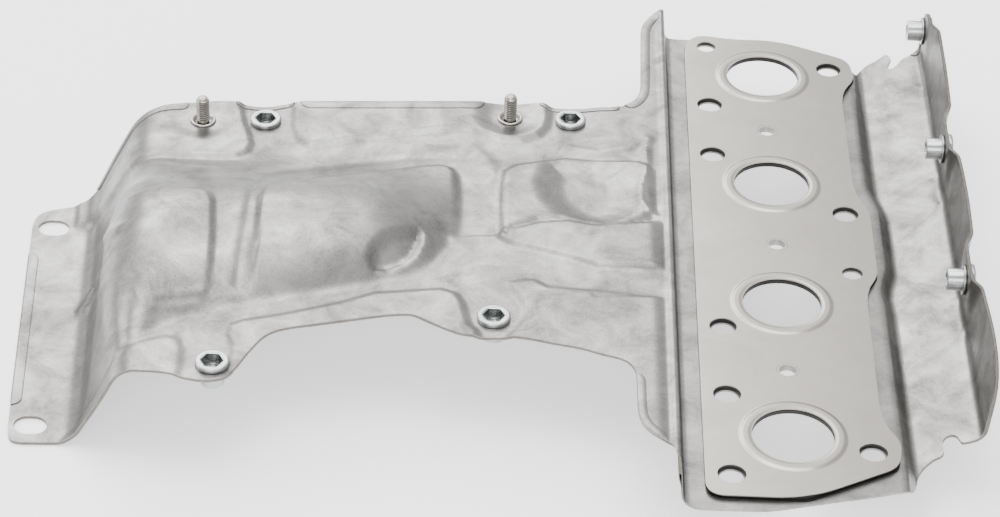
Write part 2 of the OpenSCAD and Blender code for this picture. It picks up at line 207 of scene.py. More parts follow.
def pad(p, outline, height, ramp):
    """A raised field with a flat top: the smooth step of the signed distance over the ramp."""
    return height * smooth(0.5 + distance(p, outline, True) / ramp)


def fold(p, line, height, width):
    """A rounded rib along a line: the height times a bell curve of the distance."""
    return height * np.exp(-(distance(p, line) / width) ** 2)


def bulge(d, reach, fillet):
    """Rises from 0 at distance 0 to 1 at the reach, with a fillet at its foot.

    It is 1 less the 2.4th power of the share of the reach that is left: steep at first, then ever flatter.
    """
    t = np.clip(0.5 * (d + np.sqrt(d * d + fillet * fillet)) / reach, 0, 1)
    return np.where(d > -2.5 * fillet, 1, smooth(1 + (d + 2.5 * fillet) / 6)) * (1 - (1 - t) ** 2.4)


def curve(p, points):
    """Height of a smooth curve through points (x, y) at places p."""
    pts = np.asarray(points, float)
    x, y = pts[:, 0], pts[:, 1]
    m = np.gradient(y, x)
    k = np.clip(np.searchsorted(x, p) - 1, 0, len(x) - 2)
    w = x[k + 1] - x[k]
    t = np.clip((p - x[k]) / w, 0, 1)
    h = t * t * (3 - 2 * t)
    return y[k] * (1 - h) + y[k + 1] * h + w * t * (1 - t) * ((1 - t) * m[k] - t * m[k + 1])


def window(v, a, b, w):
    """1 between a and b, with a smooth margin w inside each end."""
    return smooth((v - a) / w) * smooth((b - v) / w)


DOME_FOOT = [[-330, -103], [-276, -102], [-260, -91], [-241, -80], [-227, -74.5], [-203, -67], [-187, -61.5],
             [-173, -56], [-160, -49], [-151, -40], [-144, -28], [-136, -24], [90, -24]]
DOME_RISE = [[-330, 17], [-262, 17], [-230, 17], [-190, 16], [-172, 13.5], [-157, 8], [-146, 3.5],
             [-138, 0.5], [-130, 0], [90, 0]]
DOME_REACH = [[-330, 76], [-276, 76], [-240, 62], [-203, 48], [-160, 36], [-130, 32], [90, 32]]
LEFT_BOX = [[-300, -120], [-288, -30], [-281, -13], [-272, -13], [-262, -14], [-250, -14.5], [-246, -17],
            [-243.5, -24], [-241.5, -45], [-241, -62], [-242, -74], [-246, -120]]
RIGHT_BOX = [[-224.5, -90], [-223, -50], [-223.5, -20], [-222, -10], [-216, -5], [-204, 1], [-188, 12],
             [-173, 22], [-158, 29], [-149, 31.5], [-144, 30], [-141.5, 25], [-140.5, 12], [-140.2, -22],
             [-146, -32], [-160, -50]]
LOW_BOX = [[-120, -19], [-121, 2], [-121, 18], [-120, 29], [-115, 34], [-104, 37.5], [-93, 40.5], [-72, 40],
           [-60, 40], [-55, 35], [-54.5, 4], [-58, -1], [-65, -5], [-74, -8], [-82, -7], [-90, -5], [-95, -4],
           [-105, -6], [-116, -13]]
LOW_HOLLOW = [[-98, 34], [-101, 22], [-98, 10], [-92, 1], [-84, -5], [-76, -5], [-69, 0], [-66, 7], [-66, 14],
            [-66, 26], [-68, 34], [-80, 38]]
STUD_FIELD = [[-310, 31], [-275, 31], [-246, 31.3], [-239, 32.5], [-234.5, 37], [-233, 43], [-235, 52],
              [-238, 61], [-240, 71], [-240, 95], [-310, 95]]
FAR_FIELD = [[-217.5, 95], [-217, 74], [-215.5, 56], [-212.5, 47.5], [-207.5, 44], [-202, 44], [-190, 48.5],
             [-167.5, 55.3], [-150, 60], [-141, 61.8], [-135.5, 61.2], [-130.5, 57.5], [-124.5, 54.5],
             [-119, 53.2], [-113, 54.2], [-105.5, 58.5], [-102, 65], [-101, 73], [-101, 95]]
NEAR_FIELD = [[-228.5, -140], [-228.5, -102], [-231, -94], [-230.5, -88], [-226, -85], [-210, -80],
              [-186, -70.5], [-172, -63], [-145, -58.4], [-138.5, -61], [-135.5, -67], [-134, -75],
              [-132.5, -82], [-129, -86], [-126, -110]]
CORNER_FIELD = [[-330, -140], [-300, -112], [-276, -104], [-268, -101], [-257, -97.3], [-251, -98.2],
                [-248.7, -105], [-248.2, -116], [-250, -140]]
TONGUE_FIELD = [[-116, -52], [-111, -49.8], [-106, -49.5], [-100, -54], [-52, -58], [-52, -160], [-90, -150],
                [-117, -90], [-113, -84], [-110, -78], [-109, -72], [-110.5, -65], [-114.5, -57]]
LEAF = [[-122, -20], [-116, -14], [-104, -8], [-92, -6], [-80, -9], [-50, -4], [-50, -38.4], [-78, -38.4],
        [-89, -33.5], [-105, -27.7], [-116, -24.5]]
SCOOP = [[-175.6, -48], [-174.6, -43.7], [-169.5, -36], [-163.4, -30.6], [-156.4, -25.9], [-154.4, -27.5],
         [-154.6, -32], [-157, -39], [-161.6, -45], [-168, -49.6], [-173.6, -50.8]]
# Faint diagonal creases of the trough and the right wall
PANEL_FOLDS = [[[53.5, 118], [63, 126], [74, 133]], [[54.5, 45], [64, 53], [74.5, 60]], 
               [[54.5, 21], [65, 30], [74, 37.5]],
               [[53, -49], [64, -41], [75, -34.5]], [[51.5, -75], [64, -66], [76, -57]]]
# Creases and wrinkles: a line, its height and the width of its bell
FOLDS = [
    ([[-277, -37], [-285.6, -23.3], [-292.7, -19.9], [-299.2, -22.8], [-304, -31]], 1.1, 1.9),
    ([[-289, -30], [-295.3, -27.5], [-301, -33]], 0.8, 1.6),
    ([[-290, -39.3], [-265.3, -80], [-243.5, -72.5]], 0.25, 1.5),
    ([[-291, -49], [-268, -85.5], [-244, -78]], 0.2, 1.5),
    ([[-292, -46], [-286.5, -55], [-282, -64]], 0.6, 1.7),
    ([[-56.7, 50.4], [-56.6, 40.9], [-57.8, 29.1], [-60.1, 19.6], [-60.1, 11.3], [-57.9, 5],
      [-53.4, 2.3]], 0.8, 1.6),
    ([[-55.7, 59.3], [-56.7, 51.3], [-60, 43.2]], 0.5, 1.7),
    ([[-140.6, -22.6], [-131.6, -21.1], [-120.9, -20.4]], 0.7, 1.8),
    ([[-252, 4], [-234.9, 7.8], [-218.4, 18.1], [-192.8, 31], [-165, 40], [-140, 42]], -0.9, 5.0),
    ([[-80.2, -58.9], [-52.8, -56.9]], -0.5, 1.5),
    ([[-282, 30], [-262, 22], [-246, 21]], 0.5, 3.0),
    ([[-92, 50], [-78, 47], [-66, 52], [-56, 60]], 0.6, 3.2),
    ([[-135, 48], [-128, 38], [-124, 25]], 0.5, 3.5),
    ([[-228, 6], [-227, -12], [-227.5, -40], [-229, -66]], -1.1, 3.0)]


def relief(s, y):
    """How far the pressed shapes stand out of the plain folded sheet at place s and y."""
    p = np.stack([s, y], 1)
    dome = curve(s, DOME_RISE) * smooth((s + 300) / 36) * (1 - smooth((y + 26) / 66))
    dome = dome * bulge(y - curve(s, DOME_FOOT), curve(s, DOME_REACH), 2.4)
    boxes = pad(p, LEFT_BOX, 1.8, 4) + pad(p, RIGHT_BOX, 2.2, 4)
    h = dome + boxes * smooth((y - curve(s, DOME_FOOT) + 3) / 34)
    h = h + pad(p, LEAF, 2.3, 5) + pad(p, LOW_BOX, 2.2, 4.2)
    in_box = smooth(0.6 + distance(p, LOW_BOX, True) / 8)
    h = h - 3.8 * smooth(0.5 + distance(p, LOW_HOLLOW, True) / 17) * in_box
    h = h + sum(fold(p, line, height, width) for line, height, width in FOLDS)
    flat = 1 - smooth((18 - np.hypot(s + 256.5, y - 61.4)) / 11)
    h = h + pad(p, STUD_FIELD, 1.6, 4.5) * flat
    flat = 1 - smooth((18 - np.hypot(s + 118.3, y - 72.2)) / 11)
    h = h + pad(p, FAR_FIELD, 1.8, 5) * flat
    h = h + pad(p, NEAR_FIELD, 1.5, 4.5) + pad(p, CORNER_FIELD, 1.2, 6) + pad(p, TONGUE_FIELD, 1.3, 4.5)
    h = h - 3.5 * smooth(0.4 + distance(p, SCOOP, True) / 5)
    h = h * smooth((-47.5 - s) / 9)
    return h + sum(fold(p, line, 0.7, 1.9) for line in PANEL_FOLDS)


def slant(s):
    """How far the left flange's lines lean to -X for each mm of y."""
    return -0.072 * smooth((-248 - s) / 45)


def lobe(s, y):
    """How far the base's right border follows the gasket's middle lobe and its near tip."""
    along = 4 * window(y, -32, 52, 24) + 1.4 * smooth((-20 - y) / 20)
    return smooth((s - 38) / 5) * smooth((76 - s) / 20) * along


WALL_NUT_Y = (160.0, 60.8, -37.2)


def lean(z, y):
    """The right wall leans out, except round its nuts, where it stays upright."""
    near = np.max([smooth((21 - np.abs(y - c)) / 9) for c in WALL_NUT_Y], axis=0)
    return 3.3 * np.clip((z + 3) / 27, 0, 1.2) * (1 - near)


def surface(u, y):
    """The shield's upper face at length u along the section and y: the folded sheet plus its relief."""
    d = 0.05
    a, b = section(u - d)[0], section(u + d)[0]
    mid, run = section(u)[0], b - a
    run = run / np.linalg.norm(run, axis=1)[:, None]
    wall = u > KNOT_U[-2] - 1
    s = np.where(wall, WALL_X + (u - KNOT_U[-2]), mid[:, 0])
    x = mid[:, 0] + slant(s) * y + lobe(s, y)
    x = x + np.where(wall, lean(mid[:, 1], y), 0)
    h = relief(s, y)
    return np.stack([x - run[:, 1] * h, y, mid[:, 1] + run[:, 0] * h], 1)


def with_normals(u, y, d=0.2):
    """Points of the face and its unit normals, from differences over a small step d."""
    across = surface(u + d, y) - surface(u - d, y)
    along = surface(u, y + d) - surface(u, y - d)
    n = np.cross(across, along)
    return surface(u, y), n / np.linalg.norm(n, axis=1)[:, None]


def tilt(normal):
    """How steeply a face stands: one less the cosine of its angle to the floor."""
    return np.clip(1 - normal[:, 2], 0, 1)


# ---------------------------------------------------------------- solids from flat blanks


def rounded(points, radius=0.0, step=1.3):
    """Closed outline through corner points, with corners cut by parabolas, then cut to even steps."""
    pts = np.asarray([p[:2] for p in points], float)
    out = []
    for k, p in enumerate(pts):
        a, b = pts[k - 1], pts[(k + 1) % len(pts)]
        la, lb = np.linalg.norm(a - p), np.linalg.norm(b - p)
        r = points[k][2] if len(points[k]) > 2 else radius
        ra, rb = min(r, 0.48 * la), min(r, 0.48 * lb)
        s, e = p + (a - p) * ra / la, p + (b - p) * rb / lb
        t = np.linspace(0, 1, 9)[:, None]
        out.append(s * (1 - t) ** 2 + 2 * p * t * (1 - t) + e * t * t)
    loop = np.vstack(out + [out[0][:1]])
    lengths = np.concatenate([[0], np.cumsum(np.linalg.norm(np.diff(loop, axis=0), axis=1))])
    count = max(12, int(lengths[-1] / step))
    at = np.linspace(0, lengths[-1], count, endpoint=False)
    return np.stack([np.interp(at, lengths, loop[:, 0]), np.interp(at, lengths, loop[:, 1])], 1)


def circle(x, y, r, n=40):
    """A round hole as a loop of points."""
    t = np.linspace(0, 2 * np.pi, n, endpoint=False)
    return np.stack([x + r * np.cos(t), y + r * np.sin(t)], 1)


def inside(p, loop):
    """True where a point is inside a closed loop: an odd number of its sides lie to the right."""
    hit = np.zeros(len(p), bool)
    nxt = np.roll(loop, -1, axis=0)
    for a, b in zip(loop, nxt):
        if a[1] == b[1]:
            continue
        rows = (a[1] > p[:, 1]) != (b[1] > p[:, 1])
        hit[rows] ^= p[rows, 0] < a[0] + (p[rows, 1] - a[1]) / (b[1] - a[1]) * (b[0] - a[0])
    return hit


def blank(loops, points, keep_off):
    """Triangles of a flat blank: outline loops[0], holes in the other loops, and inner points."""
    edge = np.vstack(loops)
    ok = inside(points, loops[0])
    for loop in loops[1:]:
        ok &= ~inside(points, loop)
    points, keep = points[ok], keep_off[ok]
    near = np.zeros(len(points), bool)
    for k in range(0, len(edge), 64):
        part = edge[k:k + 64]
        d = np.abs(points[:, None, :] - part[None]).max(2)
        near |= (d < keep[:, None]).any(1)
    points = points[~near]
    everything = np.vstack([edge, points])
    sides, start = [], 0
    for loop in loops:
        n = len(loop)
        sides += [(start + k, start + (k + 1) % n) for k in range(n)]
        start += n
    v, _, f, *_ = delaunay_2d_cdt([tuple(q) for q in everything], sides, [], 0, 1e-7)
    v, f = np.array([(q[0], q[1]) for q in v]), np.array([t for t in f if len(t) == 3])
    mid = v[f].mean(1)
    good = inside(mid, loops[0])
    for loop in loops[1:]:
        good &= ~inside(mid, loop)
    f = f[good]
    a, b, c = v[f[:, 0]], v[f[:, 1]], v[f[:, 2]]
    turn = (b[:, 0] - a[:, 0]) * (c[:, 1] - a[:, 1]) - (b[:, 1] - a[:, 1]) * (c[:, 0] - a[:, 0])
    f[turn < 0] = f[turn < 0][:, ::-1]
    used = np.unique(f)
    back = np.full(len(v), -1)
    back[used] = np.arange(len(used))
    return v[used], back[f]


def mesh_object(name, points, faces, material, body, replaces=(), slot=None, smooth_angle=35, quads=None,
                drawn=None):
    """Makes a closed mesh object from points in mm, rides it on a body and hides the parts it replaces."""
    mesh = bpy.data.meshes.new(name)
    rows = [tuple(f) for f in np.asarray(faces).tolist()]
    if quads is not None:
        rows += [tuple(f) for f in np.asarray(quads).tolist()]
    mesh.from_pydata((np.asarray(points) * MM).tolist(), [], rows)
    mesh.materials.append(material)
    # Per-point share of painted shade, read by the material.
    if drawn is not None:
        shade = mesh.attributes.new("drawn", "FLOAT", "POINT")
        shade.data.foreach_set("value", np.asarray(drawn, np.float32))
    mesh.update()
    mesh.shade_smooth()
    mesh.set_sharp_from_angle(angle=math.radians(smooth_angle))
    obj = bpy.data.objects.new(name, mesh)
    bpy.context.collection.objects.link(obj)
    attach(obj, body)
    if replaces:
        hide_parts(*replaces)
    return obj


def sheet_solid(name, flat, top, bottom, material, **rest):
    """Closed solid between two faces over one blank, joined round every border loop by a wall."""
    v, f = flat
    n = len(v)
    edges = np.sort(np.vstack([f[:, [0, 1]], f[:, [1, 2]], f[:, [2, 0]]]), axis=1)
    directed = np.vstack([f[:, [0, 1]], f[:, [1, 2]], f[:, [2, 0]]])
    _, first, count = np.unique(edges, axis=0, return_index=True, return_counts=True)
    rim = directed[first[count == 1]]
    walls = np.stack([rim[:, 1], rim[:, 0], rim[:, 0] + n, rim[:, 1] + n], 1)
    faces = np.vstack([f, f[:, ::-1] + n])
    return mesh_object(name, np.vstack([top, bottom]), faces, material, quads=walls, **rest)


NEAR_EDGE = [
    [-329.5, -113.5, 5], [-327, -118.6, 5], [-303, -117.4, 20], [-285, -118.6, 10], [-270, -120.4, 8],
    [-258, -120.2, 8], [-247, -122.2, 6], [-241.4, -123.6, 4], [-235.3, -123.8, 3], [-229.5, -121.6, 3],
    [-225.8, -117.5, 5], [-221.9, -106.9, 5], [-216.4, -95.4, 5], [-209.8, -90, 8], [-185.6, -83.4, 12],
    [-167.3, -78.2, 6], [-159.4, -77.1, 4], [-155.3, -77.2, 4], [-147.6, -82.4, 6], [-137.5, -88.3, 5],
    [-130.9, -89.8, 8], [-112.8, -88.4, 10], [-94.6, -93.2, 8], [-86.4, -94.7, 6], [-78.2, -98.2, 5],
    [-70.1, -100.7, 3], [-66.8, -102.8, 3], [-64.4, -106.5, 3], [-63.3, -111.6, 8], [-63.2, -132.7, 6],
    [-62.5, -138.9, 3], [-60.6, -143.8, 3], [-57.9, -147.3, 2], [-54.8, -149.9, 2], [-51.6, -151, 2],
    [-49.7, -153, 3], [-46.8, -162, 3], [-45.2, -170.5, 4], [-43, -174.5, 3], [-39, -176, 3], [-27, -176, 8],
    [-11.4, -175.7, 6], [2, -172, 10], [39.8, -162.3, 8], [45.3, -158.5, 3], [47.2, -152, 1.5],
    [49.5, -141.6, 2], [51.4, -138.5, 2], [55.6, -134.2, 2], [58.9, -133, 1], [60.3, -130.7, 1],
    [60.1, -123.8, 1.5], [62, -121, 1.5], [64.8, -120.3, 1.5], [66.7, -121.4, 1.5], [68.4, -126.3, 1],
    [72.2, -126.2, 2], [77.3, -124.6, 3], [86, -123.6, 5], [96, -121.5, 5], [101.5, -116.5, 4]]
WALL_EDGE = [
    [104.6, -108, 5], [105.8, -96, 8], [105.2, -84, 8], [102.6, -60, 8], [100.4, -45, 5], [99.6, -33, 5],
    [101, -22, 5], [103.4, 4, 10], [102.8, 30, 8], [100.4, 50, 5], [98.6, 59, 4], [99, 68, 4], [101.6, 80, 5],
    [104, 108, 10], [104.2, 140, 8], [103.8, 150, 4], [103.2, 156, 3], [100.8, 161, 3]]
FAR_EDGE = [
    [96, 164, 3], [90, 166.2, 4], [78.3, 165.2, 4], [71.8, 161.1, 3], [68.8, 159.3, 1.5], [66.6, 155.4, 1.5],
    [64.1, 152.6, 1], [62.1, 151.4, 1], [61.4, 154.2, 1], [63.8, 161.5, 1], [61.8, 165.2, 1.5],
    [60.3, 164.2, 1], [56.2, 160, 3], [51.8, 157.6, 3], [48.1, 152.2, 3], [46.4, 147.5, 2], [45, 144, 2],
    [41, 142.5, 2], [33, 149.6, 6], [20, 155.4, 8], [7, 162.5, 6], [-12, 161.8, 8], [-33.9, 165.2, 5],
    [-42.6, 165.4, 3], [-46, 169.3, 2], [-48.6, 170, 2], [-53.1, 163.5, 4], [-56.6, 156, 4],
    [-57.6, 149.5, 5], [-58.4, 99.8, 5], [-59.9, 93, 4], [-63.6, 87.8, 4], [-70.5, 84, 4], [-77.4, 83.6, 4],
    [-86.5, 81.3, 4], [-93.4, 80.9, 3], [-97.9, 81, 3], [-104.8, 83.4, 4], [-132, 82.3, 10],
    [-214, 76.8, 6], [-220.8, 76.3, 3], [-225, 74, 2], [-229.7, 73.2, 3], [-234, 73.3, 3], [-239.8, 74.6, 3],
    [-243.5, 75.6, 4], [-253.5, 75.7, 5], [-263.8, 73.4, 6], [-276.6, 67.5, 8], [-290.6, 60, 8],
    [-302.5, 52.5, 4], [-306, 49.5, 4], [-318, 45.8, 5], [-326.5, 42.5, 5], [-329.5, 35, 4]]

WING_NUTS = {"far_left": (-228.4, 62.4), "far_right": (-90.9, 71.3), "near_left": (-235.5, -113.5),
             "near_right": (-122.2, -76.6)}
WALL_NUTS = dict(zip(("wall_far", "wall_middle", "wall_near"), WALL_NUT_Y))
STUDS = {"left": (-256.5, 61.4), "right": (-118.3, 72.2)}
PORTS = [(0.0, (k - 1.5) * 88) for k in range(4)]
BOLTS = [(-25.7, y) for y in (106.6, 66, -61.5, -106.6, -156.5)] + [(31.7, y) for y in (140.2, 23, -140.2)]
LOCATORS = [(-25.7, 156.5), (31.7, -20.7)]
RIVETS = [(0, 86.2), (0, -1.8), (0, -89.8)]
# Radii of the holes in the shield and the gasket
NUT_HOLE, STUD_HOLE, LOCATING_HOLE, RIVET_HOLE = 5.2, 4.4, 4.5, 4.75
SHIELD_PORT, SHIELD_BOLT_HOLE, GASKET_PORT, GASKET_BOLT_HOLE = 23.5, 5.0, 16.8, 5.8
# Height of the wall nuts' axes, and where the insulation ends on each side of the base strip
WALL_NUT_Z, MAT_LEFT_END, MAT_RIGHT_START = 11, -45.9, 47.0
SLOTS = [(-322, 31.1), (-312.6, -107.3)]


def to_blank(loop):
    """Moves an outline from places (s, y) to lengths along the section (u, y)."""
    out = np.array(loop, float)
    out[:, 0] = place_u(out[:, 0])
    return out


def slot_loop(x, y):
    """An oval hole, 14 by 11.7 mm, as a loop of points; x is turned back by the sheet's slant."""
    t = np.linspace(0, 2 * np.pi, 48, endpoint=False)
    x = x - slant(np.array([x]))[0] * y
    return np.stack([x + 1.15 * np.sign(np.cos(t)) * (np.abs(np.cos(t)) > 1e-9) + 5.85 * np.cos(t),
                     y + 5.85 * np.sin(t)], 1)


def shield_outline():
    """The outline of the flat blank, near edge first, then the wall's top and the far edge back."""
    corners = NEAR_EDGE + WALL_EDGE + FAR_EDGE
    return rounded([[float(place_u(c[0])), c[1], c[2]] for c in corners], step=1.25)


def shield_blank():
    """The shield's outline, holes and inner points, close together at the bends and over the wing."""
    loops = [shield_outline()]
    loops += [to_blank(circle(x, y, NUT_HOLE)) for x, y in WING_NUTS.values()]
    loops += [to_blank(circle(WALL_X + 14, y, NUT_HOLE)) for y in WALL_NUTS.values()]
    loops += [to_blank(circle(x - slant(np.array([x]))[0] * y, y, STUD_HOLE)) for x, y in STUDS.values()]
    loops += [to_blank(slot_loop(x, y)) for x, y in SLOTS]
    loops += [to_blank(circle(x, y, SHIELD_PORT, 90)) for x, y in PORTS]
    loops += [to_blank(circle(x, y, SHIELD_BOLT_HOLE)) for x, y in BOLTS]
    loops += [to_blank(circle(x, y, LOCATING_HOLE)) for x, y in LOCATORS]
    loops += [to_blank(circle(x, y, RIVET_HOLE, 32)) for x, y in RIVETS]
    # Zones from place to place, with the spacing of points across and along
    zones = [(-329.5, -311, 2.0, 2.1), (-311, -292, 0.9, 2.1), (-292, -270, 1.4, 1.7),
             (-270, -53, 1.22, 1.22), (-53, -40, 0.62, 1.9), (-40, 40, 3.2, 4.0), (40, 53, 0.8, 2.0),
             (53, 73, 1.8, 2.1), (73, WALL_X + 4, 0.75, 2.1), (WALL_X + 4, WALL_X + 32, 1.7, 2.1)]
    points, off = [], []
    for a, b, du, dy in zones:
        ua, ub = float(place_u(a)), float(place_u(b))
        us = np.linspace(ua, ub, max(2, int((ub - ua) / du)), endpoint=False) + 0.5 * du
        ys = np.arange(-180, 175, dy)
        g = np.stack(np.meshgrid(us, ys, indexing="ij"), -1).reshape(-1, 2)
        points.append(g)
        off.append(np.full(len(g), 0.55 * min(du, 1.2)))
    return blank(loops, np.vstack(points), np.concatenate(off))


def mat_here(u):
    """Thickness of the insulation at u: none where the base strip is pressed flat."""
    a, b = float(place_u(MAT_LEFT_END)), float(place_u(MAT_RIGHT_START))
    return 0.8 * (1 - window(u, a, b, 4))


def shield():
    """Two thin skins with insulation between them, all over the same blank."""
    flat = shield_blank()
    u, y = flat[0].T
    face, normal = with_normals(u, y)
    skin = 0.4
    mat = mat_here(u)
    depths = [np.zeros(len(u)), np.full(len(u), skin), skin + mat, 2 * skin + mat]
    layers = [face - normal * d[:, None] for d in depths]
    # Painted shade: steep faces of the skins come out darker, by how far they stand from flat.
    drawn = np.tile(tilt(normal), 2)
    sheet_solid("upper_skin_pressed", flat, layers[0], layers[1], ALUMINISED, body=ROOT,
                replaces=["shield_upper_skin"], slot="aluminised_sheet", drawn=drawn)
    mats = [("insulation_mat_left", -9e9, place_u(MAT_LEFT_END), "insulation_left"),
            ("insulation_mat_right", place_u(MAT_RIGHT_START), 9e9, "insulation_right")]
    for name, low, high, node in mats:
        part = (u[flat[1]].min(1) >= low) & (u[flat[1]].max(1) <= high)
        keep = np.unique(flat[1][part])
        back = np.full(len(u), -1)
        back[keep] = np.arange(len(keep))
        sheet_solid(name, (flat[0][keep], back[flat[1][part]]), layers[1][keep], layers[2][keep],
                    INSULATION, body=ROOT, replaces=[node], slot="insulation_fibre")
    sheet_solid("lower_skin_pressed", flat, layers[2], layers[3], ALUMINISED, body=ROOT,
                replaces=["shield_lower_skin"], slot="aluminised_sheet", drawn=drawn)


def hem(name, start, end, width):
    """A strip of the lower skin folded over the edge: a thin band along the outline from start to end.

    It narrows at both ends along a quarter circle, and its cross-section is flat with rounded borders.
    """
    loop = shield_outline()
    a, b = [int(np.argmin(((loop - to_blank([q])) ** 2).sum(1))) for q in (start, end)]
    line = loop[np.arange(a, b + 1 if b > a else b + 1 + len(loop)) % len(loop)]
    cut = np.linalg.norm(np.diff(line, axis=0), axis=1)
    along = np.concatenate([[0], np.cumsum(cut)])
    fine = np.linspace(0, along[-1], int(along[-1] / 0.8) + 2)
    line = np.stack([np.interp(fine, along, line[:, 0]), np.interp(fine, along, line[:, 1])], 1)
    run = np.gradient(line, axis=0)
    inward = np.stack([-run[:, 1], run[:, 0]], 1) / np.linalg.norm(run, axis=1)[:, None]
    ends = np.clip(np.minimum(fine, fine[-1] - fine) / width, 0.004, 1)
    reach = width * np.sqrt(1 - (1 - ends) ** 2)
    # Across the strip: share of the width, and height over the face
    rows = [(-0.06, -0.5), (-0.06, 0.15), (0.0, 0.42), (0.12, 0.55), (0.5, 0.55), (0.86, 0.52),
            (0.96, 0.36), (1.0, -0.1)]
    flat, high = [], []
    for share, height in rows:
        flat.append(line + inward * (reach * share)[:, None])
        high.append(np.full(len(line), height))
    flat, high = np.vstack(flat), np.concatenate(high)
    n, m = len(rows), len(line)
    k = (np.arange(n - 1)[:, None] * m + np.arange(m - 1)).ravel()
    f = np.vstack([np.stack([k, k + 1, k + m + 1], 1), np.stack([k, k + m + 1, k + m], 1)])
    face, normal = with_normals(*flat.T)
    depth = np.where(high < 0, 0.6, 0.5)
    # The hem's steep faces get the same painted shade.
    sheet_solid(name, (flat, f), face + normal * high[:, None], face - normal * depth[:, None],
                ALUMINISED, body=ROOT, slot="aluminised_sheet", drawn=np.tile(tilt(normal), 2))


def turned(name, profile, place, upright, material, closed, shade=None, points=72, **rest):
    """A solid built of rings round an axis; each row of the profile is a radius and a height.

    A radius is a number or a function of the angle and the height. A closed profile makes a ring with a
    bore; an open one ends in a point on the axis at both ends.
    """
    t = np.linspace(0, 2 * np.pi, points, endpoint=False)
    rings = []
    for radius, height in profile:
        r = radius(t, height) if callable(radius) else np.full(points, float(radius))
        rings.append(np.stack([r * np.cos(t), r * np.sin(t), np.full(points, float(height))], 1))
    verts, count = np.vstack(rings), len(rings)
    turns = np.arange(points)
    quads = []
    for k in range(count if closed else count - 1):
        a, b = k * points, (k + 1) % count * points
        quads.append(np.stack([a + turns, a + (turns + 1) % points, b + (turns + 1) % points, b + turns], 1))
    tris = np.zeros((0, 3), int)
    if not closed:
        low, high = len(verts), len(verts) + 1
        verts = np.vstack([verts, [[0, 0, profile[0][1]], [0, 0, profile[-1][1]]]])
        top = (count - 1) * points
        tris = np.vstack([np.stack([np.full(points, low), (turns + 1) % points, turns], 1),
                          np.stack([np.full(points, high), top + turns, top + (turns + 1) % points], 1)])
    drawn = None if shade is None else shade(np.hypot(verts[:, 0], verts[:, 1]), verts[:, 2])
    if not upright:
        verts = verts @ np.array([[0, 0, -1], [0, 1, 0], [1, 0, 0]], float)
    mesh_object(name, verts + np.array(place), tris, material, quads=np.vstack(quads), drawn=drawn, **rest)


def hexagon(width):
    """Radius of a hexagon of a width across flats, with a corner at +X: the half width over a cosine."""
    sixth = np.pi / 3
    return lambda t, z: width / 2 / np.cos((t + sixth) % sixth - sixth / 2)


def thread(core, crest, pitch=1.0):
    """Radius of a screw thread: between core and crest as a triangle wave of height less angle."""
    return lambda t, z: crest - (crest - core) * np.abs(2 * ((z / pitch - t / (2 * np.pi)) % 1) - 1)


def captive_nuts():
    """Flanged nuts with a hexagon socket over a threaded barrel, and the ring under the sheet."""
    bore = [(thread(2.5, 2.95), z) for z in np.arange(-3.6, -9.3, -0.125)]
    nut = [(2.9, -9.6), (4.3, -9.6), (4.65, -9.5), (4.8, -9.2), (4.8, -0.1), (4.9, 0), (6.75, 0),
           (6.95, 0.12), (7, 0.35), (7, 1.3), (6.93, 1.6), (6.72, 1.85), (6.4, 1.98), (6.1, 2.0),
           (5.3, 2.0), (hexagon(8.5), 1.96), (hexagon(8.2), 1.86), (hexagon(8.02), 1.6),
           (hexagon(8), 1.2), (hexagon(8), -2.85), (3.8, -3.0), (3.1, -3.05)] + bore
    ring = [(4.83, -1.1), (6.2, -1.1), (6.45, -1.0), (6.5, -0.85), (6.5, -0.25), (6.45, -0.1), (6.2, 0),
            (4.83, 0)]
    gap = 0.15

    def socket(r, z):
        """Painted shade in the socket and the bore: darker from the flange's face down."""
        return np.where((r < 4.72) & (z > -9.5), smooth((1.9 - z) / 5), 0)

    for name, (x, y) in WING_NUTS.items():
        parts = {"body": "captive_nut_" + name}
        turned("captive_nut_body_" + name, nut, (x, y, WING + gap), True, NUT, True,
               shade=socket, replaces=["nut_" + name], slot="plated_nut", **parts)
        turned("captive_ring_" + name, ring, (x, y, WING - SHEET - gap), True, WASHER, True,
               replaces=["nut_washer_" + name], slot="plated_washer", **parts)
    for name, y in WALL_NUTS.items():
        parts = {"body": "captive_nut_" + name}
        turned("captive_nut_body_" + name, nut, (WALL_X + SHEET + gap, y, WALL_NUT_Z), False, NUT, True,
               shade=socket, replaces=["nut_" + name], slot="plated_nut", **parts)
        turned("captive_ring_" + name, ring, (WALL_X - gap, y, WALL_NUT_Z), False, WASHER, True,
               replaces=["nut_washer_" + name], slot="plated_washer", **parts)


